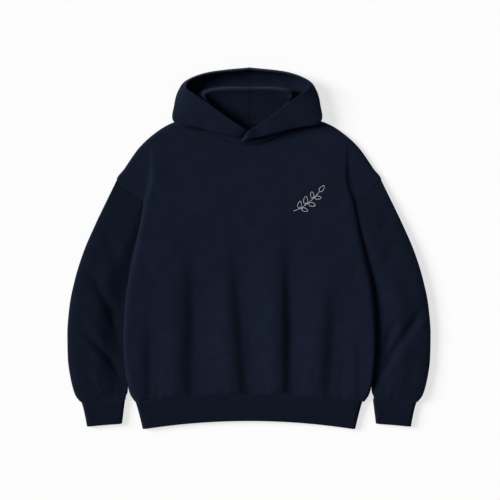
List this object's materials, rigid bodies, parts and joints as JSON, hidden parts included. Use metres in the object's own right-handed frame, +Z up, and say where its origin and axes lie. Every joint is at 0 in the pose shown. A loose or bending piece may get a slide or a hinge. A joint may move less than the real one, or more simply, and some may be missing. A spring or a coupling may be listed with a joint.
{
  "type": "pullover hoodie",
  "caption": "Loose drop-shoulder pullover hoodie in heavy fleece, laid flat on its back with its sleeves down, its hood open and its ribbed hem and cuffs at their full width.",
  "frame": {"origin": "on the underside of the back panel, on the garment's middle line and halfway along its length", "axes": "+X across the chest towards the picture's right, +Y up the garment to the hood, +Z up from the surface that it lies on"},
  "size_m": [0.854, 0.8478, 0.0411],
  "materials": {
    "fleece": "matte brushed cotton fleece, very dark navy",
    "rib": "matte fine rib knit, very dark navy",
    "tape": "matte woven tape, dark navy"
  },
  "bodies": {
    "root": {"back": "fleece", "front": "fleece", "sleeve_left": "fleece", "sleeve_right": "fleece", "hood_left": "fleece", "hood_right": "fleece", "cuff_left": "rib", "cuff_right": "rib", "hem_band": "rib", "neck_tape": "tape"}
  },
  "joints": []
}
